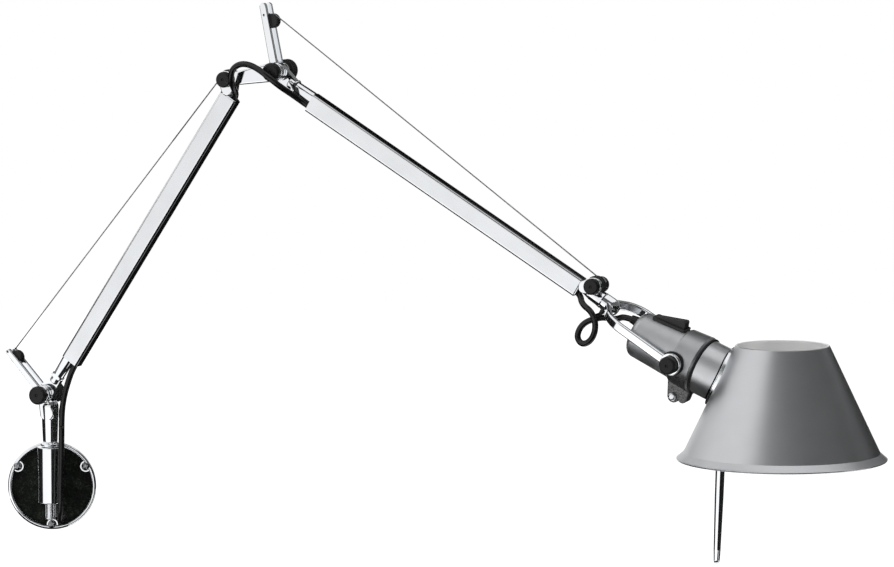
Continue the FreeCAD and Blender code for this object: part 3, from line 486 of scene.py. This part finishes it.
def smooth_route(points):
    """Points along the NURBS spline that has the given control points."""
    curve = bpy.data.curves.new("route", "CURVE")
    curve.dimensions = "3D"
    spline = curve.splines.new("NURBS")
    spline.points.add(len(points) - 1)
    for point, spot in zip(spline.points, points):
        point.co = (*spot, 1.0)
    spline.order_u = 3
    spline.use_endpoint_u = True
    spline.resolution_u = 14
    holder = put("route", curve)
    bpy.context.view_layer.update()
    mesh = bpy.data.meshes.new_from_object(holder)
    route = [vertex.co.copy() for vertex in mesh.vertices]
    bpy.data.objects.remove(holder)
    bpy.data.curves.remove(curve)
    bpy.data.meshes.remove(mesh)
    clean = [route[0]]
    for spot in route[1:]:
        if (spot - clean[-1]).length > 1e-5:
            clean.append(spot)
    return clean


def tube_mesh(name, route, radius, sides=24):
    """A closed tube along a route, its rings carried along without twist."""
    shape = bmesh.new()
    heading = (route[1] - route[0]).normalized()
    across = heading.orthogonal().normalized()
    rings = []
    for i, spot in enumerate(route):
        ahead = route[min(i + 1, len(route) - 1)] - route[max(i - 1, 0)]
        ahead.normalize()
        across = (across - ahead * across.dot(ahead)).normalized()
        up = ahead.cross(across)
        ring = []
        for k in range(sides):
            a = 2 * math.pi * k / sides
            ring.append(shape.verts.new(spot + (across * math.cos(a) + up * math.sin(a)) * radius))
        rings.append(ring)
    for one, two in zip(rings, rings[1:]):
        for k in range(sides):
            n = (k + 1) % sides
            shape.faces.new((one[k], one[n], two[n], two[k]))
    shape.faces.new(list(reversed(rings[0])))
    shape.faces.new(rings[-1])
    bmesh.ops.recalc_face_normals(shape, faces=shape.faces)
    return mesh_of(name, shape)


def lathe_mesh(name, profile, base, sides=48):
    """A closed body turned about a frame's Z from (radius, height) points, in millimetres."""
    shape = bmesh.new()
    rings = []
    for radius, height in profile:
        if radius == 0:
            rings.append([shape.verts.new(place(base, (0, 0, height))[0])])
            continue
        ring = []
        for k in range(sides):
            a = 2 * math.pi * k / sides
            spot = (radius * math.cos(a), radius * math.sin(a), height)
            ring.append(shape.verts.new(place(base, spot)[0]))
        rings.append(ring)
    for one, two in zip(rings, rings[1:]):
        for k in range(sides):
            n = (k + 1) % sides
            corners = [one[k % len(one)], one[n % len(one)], two[n % len(two)], two[k % len(two)]]
            corners = list(dict.fromkeys(corners))
            if len(corners) > 2:
                shape.faces.new(corners)
    bmesh.ops.recalc_face_normals(shape, faces=shape.faces)
    return mesh_of(name, shape)


# ---- cable -------------------------------------------------------------------------
CABLE_R = 2.7
LOW_Y = -10.5                            # where the cable lies under an arm's axis
HIGH = Vector((11.3, -38.0, 58.0))       # where it leaves the stem
ABOVE = (16.4, 71.5, 8.0)
LEAD = HIGH + (HIGH - PLANE @ Vector(ABOVE)) * 1.8
LOOP_TOP = PLANE @ Vector((533.8, 180.3, 4.2))
UNDER_HUB = YOKE @ Vector((7.5, -11.6, 2.0))
LOOP_END = LOOP_TOP + (UNDER_HUB - LOOP_TOP) * 0.72

ROUTES = {
    "cable_stem": place(WORLD, (8, -0.3, -27.5), (8, -14, -27.5), (8.8, -30, -30.5), (10, -39.5, -21),
                        (10.2, -40, 4), LEAD, HIGH),
    "cable_base": place(WORLD, HIGH)
    + place(PLANE, ABOVE, (18.1, 85.9, 6.5), (20.6, 97.8, 4.0))
    + place(LOWER, (35.5, LOW_Y, 0), (46, LOW_Y, 0)),
    "cable_elbow": place(LOWER, (330, LOW_Y, 0), (339, LOW_Y, 0))
    + place(PLANE, (192.9, 369.7, 10.5), (193.3, 379.7, 16.5), (195.6, 387.3, 17), (203, 391.9, 18),
            (213.2, 391.9, 20), (223.9, 387.9, 22), (233.6, 381.6, 22.8), (243.2, 373.2, 19),
            (250.4, 365.8, 9.5))
    + place(UPPER, (35, LOW_Y, 0), (46, LOW_Y, 0)),
    "cable_loop": place(UPPER, (336, LOW_Y, 0), (343.5, LOW_Y, 0), (351.5, -15, 7))
    + place(PLANE, (538.6, 188.2, 12.4), (542.6, 179, 12.6), (541.4, 169, 12), (535.6, 161.2, 10.6),
            (527.8, 159, 9.2), (522.6, 165, 7.6), (525.4, 174.4, 5.6))
    + place(WORLD, LOOP_TOP, LOOP_END),
    "cable_head": place(WORLD, LOOP_END, UNDER_HUB) + place(YOKE, (17.5, -7.4, 1.5))
    + place(HEAD, (-64, 9, 0), (-48, 9, 0)),
    "cable_lower_arm": place(LOWER, (46, LOW_Y, 0), (330, LOW_Y, 0)),
    "cable_upper_arm": place(UPPER, (46, LOW_Y, 0), (336, LOW_Y, 0)),
}
SPANS = {
    "cable_stem": ("wall", "stem", place(WORLD, (10, -39.5, -24), (10.9, -38.0, 36))),
    "cable_base": ("stem", "lower_arm", place(PLANE, (16.2, 64, 8)) + place(LOWER, (34, LOW_Y, 0))),
    "cable_elbow": ("lower_arm", "upper_arm", place(PLANE, (203, 391.9, 18), (247, 369.5, 14))),
    "cable_loop": ("upper_arm", "yoke", place(UPPER, (345, LOW_Y, 3), (360, LOW_Y, 3))),
    "cable_head": ("yoke", "head", place(YOKE, (18.5, -8, 2)) + place(HEAD, (-54, 9, 0))),
}
for name, route in ROUTES.items():
    mesh = tube_mesh(name, smooth_route(route), CABLE_R * MM)
    cable = new_object("sheath_" + name, mesh, FINISHES["cable_sheath"])
    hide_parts(name)
    if name in SPANS:
        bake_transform(cable)
    else:
        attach(cable, "lower_arm" if "lower" in name else "upper_arm")


# ---- wires -------------------------------------------------------------------------
CAM_PITCH = 5.3 + 0.6 + 0.05     # the groove's floor, the wire's radius and a gap
CAM_LEAN = 25                    # the cam's flat against its lever, degrees
BARE_TURN = 10                   # left of the wire's turn when the joint lets it out, degrees
HELD_R, WIRE_R, RUN_R = 0.5, 0.55, 0.6
OFF_CAM = 3                      # wire that rolls off with the strand
PAST_STRAND = 28                 # how far the run reaches back beside the strand
BALL_R = 1.2
HOOK_X, HOOK_SHARE = 23.2, 0.55  # where the spring's hook is: a length and a share of the tube


def arc(centre, radius, start, end, steps=18):
    """Points of a turn about a wheel, which the wire really follows."""
    return [(*polar(*centre, radius, start + (end - start) * i / steps), 0.0)
            for i in range(steps + 1)]


def wire_mesh(name, points, radius):
    return tube_mesh(name, place(PLANE, *points), radius * MM, 12)


def wire_pieces(name, pivot, cam_place, lever_angle, tube_length, base, bodies, swing, paid_in):
    """The wire: its ball and turn on the cam, the strand that swings, and the run over the pulley.

    cam_place is the cam's distance and angle from the pivot and the depth of its flat, and swing is
    how far the wire turns on the cam each way, in degrees.
    The strand stops short of the pulley by as much as the arm's travel draws in. A real wire keeps
    meeting the pulley, so at the joint's limits the strand's far end is lifted by that many millimetres.
    """
    cam_body, arm_body = bodies
    reach, angle, flat = cam_place
    to_plane = PLANE.inverted() @ base
    cam = polar(*pivot, reach, angle)
    wheel = to_plane @ Vector((TUBE_START + tube_length + PULLEY_X, PULLEY_Y, 0))
    wheel = (wheel.x, wheel.y)
    span = math.hypot(wheel[0] - cam[0], wheel[1] - cam[1])
    line = math.degrees(math.atan2(wheel[1] - cam[1], wheel[0] - cam[0]))
    side = line + 90 + math.degrees(math.asin((PULLEY_R - CAM_PITCH) / span))
    anchor = lever_angle + 180 - CAM_LEAN - math.degrees(math.asin(flat / CAM_PITCH))
    up = to_plane.to_3x3() @ Vector((0, 1, 0))
    under = math.degrees(math.atan2(up.y, up.x)) - 180
    leave = Vector((*polar(*cam, CAM_PITCH, side), 0))
    meet = Vector((*polar(*wheel, PULLEY_R, side), 0))
    ahead = (meet - leave).normalized()
    finish = wire_finish(name + "_finish", base)

    loosening, tightening = swing
    wrapped = anchor - side - loosening - BARE_TURN
    held = arc(cam, CAM_PITCH, anchor, side + max(wrapped - tightening, 0))
    mesh = wire_mesh(name + "_turn", held, HELD_R)
    turn_on_cam = new_object(name + "_turn_on_cam", mesh, finish)
    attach(turn_on_cam, cam_body)
    rolling = arc(cam, CAM_PITCH, side + wrapped, side) + [leave + ahead * OFF_CAM]
    mesh = wire_mesh(name + "_lead", rolling, WIRE_R)
    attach(new_object(name + "_leaving_cam", mesh, finish), name)

    straight = [leave + (meet - ahead * paid_in - leave) * i / 12 for i in range(13)]
    mesh = wire_mesh(name, straight, WIRE_R)
    strand = new_object(name + "_strand", mesh, finish)
    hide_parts(name)
    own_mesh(strand)
    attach(strand, name)

    back = Vector((*polar(0, 0, 1, anchor - 90), 0))
    ball_at = Vector(held[0]) - back
    slices = [math.radians(a) for a in range(-75, 90, 15)]
    ball_profile = [(0, -BALL_R), *((BALL_R * math.cos(a), BALL_R * math.sin(a)) for a in slices),
                    (0, BALL_R)]
    ball = lathe_mesh(name + "_ball", ball_profile, PLANE @ at(*ball_at), 20)
    end_ball = new_object(name + "_end_ball", ball, FINISHES["steel"])
    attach(end_ball, cam_body)

    hook = (TUBE_START + HOOK_X + HOOK_SHARE * tube_length, PULLEY_Y - PULLEY_R, 0)
    second = [meet - ahead * (paid_in + PAST_STRAND)] + arc(wheel, PULLEY_R, side, under)
    second.append(to_plane @ Vector(hook))
    mesh = wire_mesh(name + "_run", second, RUN_R)
    run = new_object(name + "_over_pulley", mesh, finish)
    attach(run, arm_body)


wire_pieces("lower_wire", BASE_PIVOT, cam_place=(43.0, 132.1, 2.4), lever_angle=132.5,
            tube_length=LOWER_TUBE, base=LOWER, bodies=("stem", "lower_arm"),
            swing=(35.6, 44.8), paid_in=52)
elbow = PLANE.inverted() @ UPPER @ Vector((0, 0, 0))
wire_pieces("upper_wire", (elbow.x, elbow.y), cam_place=(44.7, 96.6, 3.6), lever_angle=101.5,
            tube_length=UPPER_TUBE, base=UPPER, bodies=("lower_arm", "upper_arm"),
            swing=(59.9, 25.8), paid_in=84)


# ---- wall screws -------------------------------------------------------------------
SCREW_CIRCLE_R, SCREW_SEAT_Y = 35.5, -7.3
SCREW_PROFILE = [(0, -6.6), (1.9, -6.4), (2.0, -5.8), (2.0, 0.1), (3.7, 0.1), (3.95, 0.35),
                 (3.95, 0.75), (3.6, 1.35), (2.9, 1.85), (1.9, 2.2), (0.9, 2.36), (0, 2.4)]
RECESS_SIZE, RECESS_Z = (4.6, 0.95, 2.6, 1), 2.2


def wall_screw(number, angle, twist):
    """Domed wood screw with a cross recess, seated on the plate's boss."""
    x, z = polar(0, 0, SCREW_CIRCLE_R, angle)
    base = Matrix.Translation((x, SCREW_SEAT_Y, z)) @ turn(90, "X") @ turn(twist)
    head = new_object("wall_screw_%d" % number, lathe_mesh("screw", SCREW_PROFILE, base),
                      SCREW_STEEL)
    cutter = bmesh.new()
    for spin in (0, 90):
        box = base @ turn(spin) @ Matrix.Translation((0, 0, RECESS_Z)) @ Matrix.Diagonal(RECESS_SIZE)
        bmesh.ops.create_cube(cutter, size=1.0, matrix=Matrix.Scale(MM, 4) @ box)
    cross = put("cutter", mesh_of("cutter", cutter))
    cut = head.modifiers.new("recess", "BOOLEAN")
    cut.object = cross
    cut.operation = "DIFFERENCE"
    cut.solver = "EXACT"
    cut.use_self = True
    bpy.context.view_layer.update()
    carved = head.evaluated_get(bpy.context.evaluated_depsgraph_get())
    baked = bpy.data.meshes.new_from_object(carved)
    head.modifiers.clear()
    head.data = baked
    bpy.data.objects.remove(cross)
    baked.set_sharp_from_angle(angle=math.radians(40))
    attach(head, "wall")


for number, (angle, twist) in enumerate(((30, 20), (150, 65), (270, 40))):
    wall_screw(number, angle, twist)


# ---- studio ------------------------------------------------------------------------
def seen_directly(tree):
    """1 for rays from the camera, from mirrors and through glass, and 0 for rays of light."""
    path = tree.nodes.new("ShaderNodeLightPath")
    total = path.outputs["Is Camera Ray"]
    for other in ("Is Glossy Ray", "Is Transmission Ray"):
        add = tree.nodes.new("ShaderNodeMath")
        add.operation = "MAXIMUM"
        tree.links.new(total, add.inputs[0])
        tree.links.new(path.outputs[other], add.inputs[1])
        total = add.outputs[0]
    return total


def choice(tree, kind, lit_strength, seen_strength):
    """A glow with one strength as light and another where it is seen."""
    choose = tree.nodes.new("ShaderNodeMixShader")
    tree.links.new(seen_directly(tree), choose.inputs[0])
    for spot, strength in ((1, lit_strength), (2, seen_strength)):
        glow = tree.nodes.new(kind)
        glow.inputs["Strength"].default_value = strength
        glow.inputs["Color"].default_value = (1, 1, 1, 1)
        tree.links.new(glow.outputs[0], choose.inputs[spot])
    return choose.outputs[0]


world = bpy.data.worlds.new("studio")
bpy.context.scene.world = world
world.use_nodes = True
world.node_tree.nodes.clear()
sky = choice(world.node_tree, "ShaderNodeBackground", 0.45, 1.0)
out = world.node_tree.nodes.new("ShaderNodeOutputWorld")
world.node_tree.links.new(sky, out.inputs[0])


def flat_panel(name, width, height, location, aim, finish):
    """A stage panel that faces a point."""
    shape = bmesh.new()
    bmesh.ops.create_grid(shape, x_segments=2, y_segments=2, size=0.5)
    mesh = mesh_of(name, shape)
    made = put(name, mesh)
    made.location = location
    made.rotation_euler = (Vector(aim) - Vector(location)).to_track_quat("Z", "Y").to_euler()
    made.scale = (width, height, 1)
    mesh.materials.append(finish)
    return made


def floor_finish():
    """Pale matt floor that keeps the lamp's shadow and runs to white where the camera sees it."""
    made = bpy.data.materials.new("floor")
    made.use_nodes = True
    tree = made.node_tree
    tree.nodes.clear()
    matt = tree.nodes.new("ShaderNodeBsdfDiffuse")
    mottle = tree.nodes.new("ShaderNodeTexNoise")
    mottle.inputs["Scale"].default_value = 3.0
    ramp = tree.nodes.new("ShaderNodeValToRGB")
    ramp.color_ramp.elements[0].color = (0.82, 0.82, 0.82, 1)
    ramp.color_ramp.elements[1].color = (0.86, 0.86, 0.86, 1)
    tree.links.new(mottle.outputs["Fac"], ramp.inputs[0])
    tree.links.new(ramp.outputs[0], matt.inputs["Color"])
    both = tree.nodes.new("ShaderNodeAddShader")
    tree.links.new(matt.outputs[0], both.inputs[0])
    tree.links.new(choice(tree, "ShaderNodeEmission", 0.0, 0.75), both.inputs[1])
    out = tree.nodes.new("ShaderNodeOutputMaterial")
    tree.links.new(both.outputs[0], out.inputs[0])
    return made


def card_finish(name, level):
    """Studio felt."""
    made = Finish(name, 0.0)
    fuzz = made.noise(made.local(WORLD), 0.2, 3.0)
    made.colour(made.ramp(fuzz, (0.3, grey(level * 0.8)), (0.7, grey(level * 1.2))))
    made.gloss(made.spread(fuzz, 0.9, 1.0))
    return made.material


CENTRE = Vector((0.35, -0.2, 0.2))
FLOOR_SIZE, FLOOR_Z = 16, -0.75
LOW, MID = -0.74, 1.0  # the cards' foot, just over the floor, and where the low ones end
flat_panel("floor", FLOOR_SIZE, FLOOR_SIZE, (0.35, 0.0, FLOOR_Z), (0.35, 0.0, 1.0), floor_finish())
felt = card_finish("felt", 0.008)
baize = card_finish("baize", 0.17)
linen = card_finish("linen", 0.26)


def only_mirrored(card):
    """Felt that darkens reflections and nothing else."""
    card.visible_camera = False
    card.visible_diffuse = False
    card.visible_shadow = False
    card.visible_transmission = False


def tall_card(name, azimuths, distance, low, high, cloth):
    """A tall card over a range of angles left (-) or right (+) of the camera's side."""
    mid = math.radians(sum(azimuths) / 2)
    width = 2 * distance * math.tan(math.radians(abs(azimuths[1] - azimuths[0]) / 2))
    where = CENTRE + Vector((math.sin(mid), -math.cos(mid), 0)) * distance
    where.z = (low + high) / 2
    only_mirrored(flat_panel(name, width, high - low, where, (CENTRE.x, CENTRE.y, where.z), cloth))


for name, azimuths, distance, low, high, cloth in (
        ("card_left", (-150, -74), 2.4, LOW, 0.66, felt),
        ("card_front_high", (-32, 16), 2.6, MID, 4.6, baize),
        ("card_right_low", (3, 60), 2.6, LOW, MID, felt),
        ("card_right_high", (16, 60), 2.6, MID, 4.6, baize),
        ("card_side_low", (60, 104), 2.6, LOW, MID, felt),
        ("card_side_high", (60, 104), 2.6, MID, 4.0, baize),
        ("card_back_right_low", (104, 158), 2.6, LOW, 0.7, felt),
        ("card_back_right_high", (104, 158), 2.6, 0.7, 2.8, linen)):
    tall_card(name, azimuths, distance, low, high, cloth)

for name, width, height, spot, aim in (
        ("card_back", 4.0, 2.4, (1.2, 2.4, 2.2), (1.2, 0.0, 2.2)),
        ("card_low_back", 3.4, 3.0, (1.6, 1.7, LOW), (1.6, 1.7, MID)),
        ("card_above", 2.4, 1.6, (0.35, 1.3, 3.0), (0.35, 1.3, 0.0)),
        ("card_low_left", 1.9, 2.8, (-0.75, 0.8, LOW), (-0.75, 0.8, MID)),
        ("card_low_front", 3.4, 2.2, (0.9, -1.5, LOW), (0.9, -1.5, MID))):
    only_mirrored(flat_panel(name, width, height, spot, aim, felt))


def soft_light(name, location, power):
    """A square light that aims at the lamp and isn't seen in its metal."""
    light = bpy.data.lights.new(name, "AREA")
    light.shape = "SQUARE"
    light.size = 1.6
    light.energy = power
    made = put(name, light)
    made.location = location
    made.rotation_euler = (CENTRE - Vector(location)).to_track_quat("-Z", "Y").to_euler()
    made.visible_glossy = False


soft_light("key", (-2.2, -1.5, 1.9), 45)
soft_light("fill", (2.2, -2.0, 1.6), 18)
soft_light("top", (0.4, 0.4, 2.6), 20)
